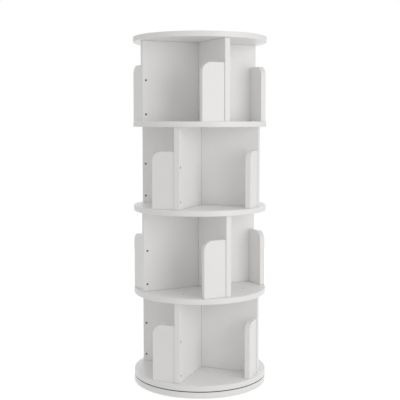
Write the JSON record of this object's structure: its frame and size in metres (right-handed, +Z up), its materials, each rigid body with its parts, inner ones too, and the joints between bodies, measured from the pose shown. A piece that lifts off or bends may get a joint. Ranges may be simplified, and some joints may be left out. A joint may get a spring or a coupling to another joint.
{
  "type": "revolving bookcase",
  "caption": "Tall round bookcase of stacked open tiers. Crossed panels with book-stop fences stand between round shelves, and the whole case turns on a ring bearing in a fixed base.",
  "frame": {"origin": "on the turning axis at the floor, the bottom centre of the whole bookcase", "axes": "+Z up along the turning axis; at rest the lowest tier's long panel runs along Y and its half panels along X"},
  "size_m": [0.46, 0.46, 1.194],
  "materials": {
    "white_board": "satin white faced board",
    "screw_steel": "zinc plated",
    "ring_aluminium": "satin",
    "cage_nylon": "natural",
    "dowel_beech": "bare beech",
    "foot_rubber": "matt"
  },
  "bodies": {
    "base": {"base_board": "white_board", "foot_pad_1": "foot_rubber", "foot_pad_2": "foot_rubber", "foot_pad_3": "foot_rubber", "foot_pad_4": "foot_rubber", "foot_pad_5": "foot_rubber", "foot_pad_6": "foot_rubber", "bearing_outer_ring": "ring_aluminium", "outer_ring_screw_1": "screw_steel", "outer_ring_screw_2": "screw_steel", "outer_ring_screw_3": "screw_steel", "outer_ring_screw_4": "screw_steel"},
    "ball_set": {"ball_cage": "cage_nylon"},
    "turning_case": {"bearing_inner_ring": "ring_aluminium", "inner_ring_screw_1": "screw_steel", "inner_ring_screw_2": "screw_steel", "inner_ring_screw_3": "screw_steel", "inner_ring_screw_4": "screw_steel", "bottom_shelf": "white_board", "shelf_2": "white_board", "shelf_3": "white_board", "shelf_4": "white_board", "top_board": "white_board", "tier_1_long_panel": "white_board", "tier_1_left_half_panel": "white_board", "tier_1_right_half_panel": "white_board", "tier_1_fence_1": "white_board", "tier_1_fence_2": "white_board", "tier_1_fence_3": "white_board", "tier_1_fence_4": "white_board", "tier_1_dowel_1": "dowel_beech", "tier_1_dowel_2": "dowel_beech", "tier_2_long_panel": "white_board", "tier_2_left_half_panel": "white_board", "tier_2_right_half_panel": "white_board", "tier_2_fence_1": "white_board", "tier_2_fence_2": "white_board", "tier_2_fence_3": "white_board", "tier_2_fence_4": "white_board", "tier_2_dowel_1": "dowel_beech", "tier_2_dowel_2": "dowel_beech", "tier_3_long_panel": "white_board", "tier_3_left_half_panel": "white_board", "tier_3_right_half_panel": "white_board", "tier_3_fence_1": "white_board", "tier_3_fence_2": "white_board", "tier_3_fence_3": "white_board", "tier_3_fence_4": "white_board", "tier_3_dowel_1": "dowel_beech", "tier_3_dowel_2": "dowel_beech", "tier_4_long_panel": "white_board", "tier_4_left_half_panel": "white_board", "tier_4_right_half_panel": "white_board", "tier_4_fence_1": "white_board", "tier_4_fence_2": "white_board", "tier_4_fence_3": "white_board", "tier_4_fence_4": "white_board", "tier_4_dowel_1": "dowel_beech", "tier_4_dowel_2": "dowel_beech"}
  },
  "joints": [
    {"name": "case_turn", "type": "hinge", "parent": "base", "child": "turning_case", "pos_m": [0, 0, 0.0225], "axis": [0, 0, 1], "continuous": true},
    {"name": "ball_roll", "type": "hinge", "parent": "base", "child": "ball_set", "pos_m": [0, 0, 0.0225], "axis": [0, 0, 1], "continuous": true}
  ],
  "couplings": [
    {"joint": "ball_roll", "follows": "case_turn", "ratio": 0.4876}
  ]
}
